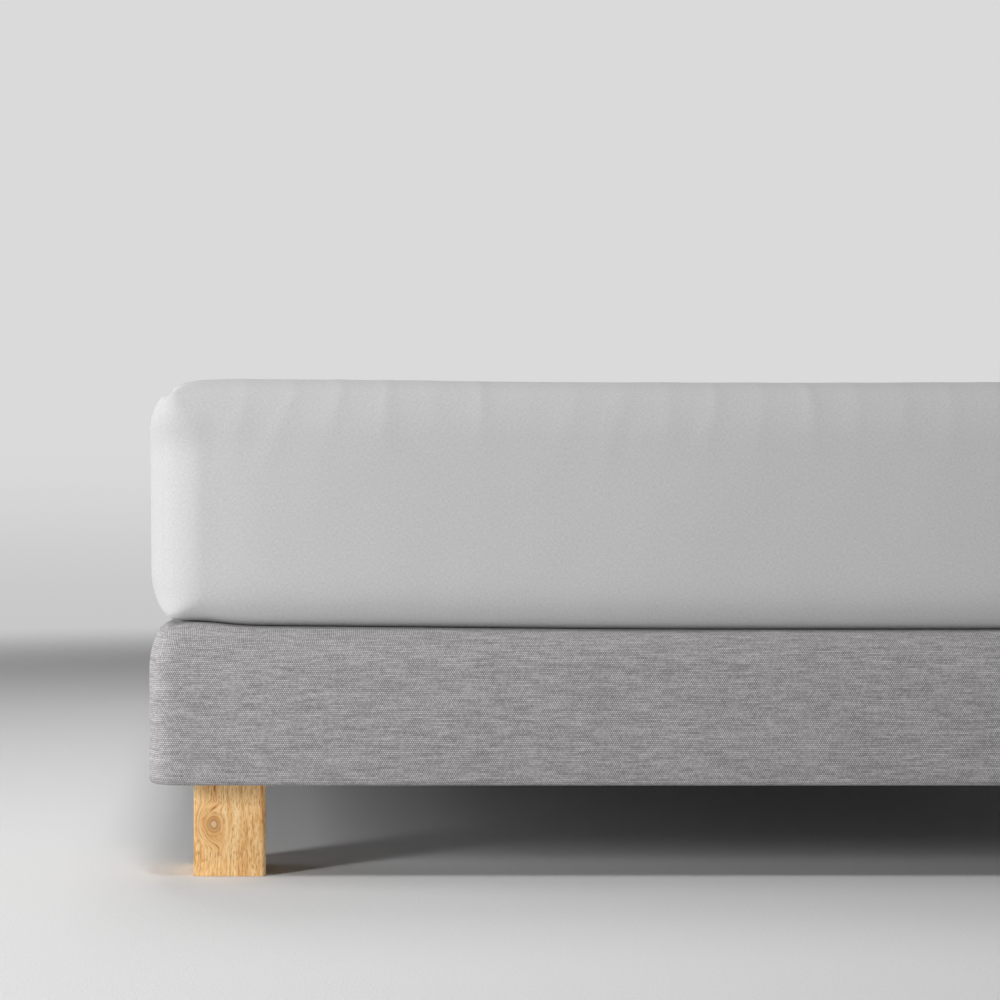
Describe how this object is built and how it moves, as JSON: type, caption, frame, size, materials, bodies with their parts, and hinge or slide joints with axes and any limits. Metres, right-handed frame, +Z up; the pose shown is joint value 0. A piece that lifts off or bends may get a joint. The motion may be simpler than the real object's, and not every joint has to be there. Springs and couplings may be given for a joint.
{
  "type": "fitted sheet on mattress and bed base",
  "caption": "Plain fitted sheet stretched taut over a mattress with softly rolled edges, on an upholstered bed base raised on square oak block legs.",
  "frame": {"origin": "on the floor under the middle of the bed", "axes": "+X across the bed to the right as seen from the foot, +Y along the bed from the foot to the head, +Z up"},
  "size_m": [1.406, 2.006, 0.522],
  "materials": {
    "sheet_cloth": "matt, fine plain-weave cotton in a neutral pale grey",
    "mattress_ticking": "matt, undyed ticking, hidden by the sheet",
    "base_upholstery": "matt, coarse grey melange weave with slubs",
    "leg_oak": "oiled, satin, with open grain and a small knot"
  },
  "bodies": {
    "root": {"fitted_sheet": "sheet_cloth", "mattress": "mattress_ticking", "bed_base": "base_upholstery", "leg_foot_left": "leg_oak", "leg_foot_right": "leg_oak", "leg_head_left": "leg_oak", "leg_head_right": "leg_oak"}
  },
  "joints": []
}
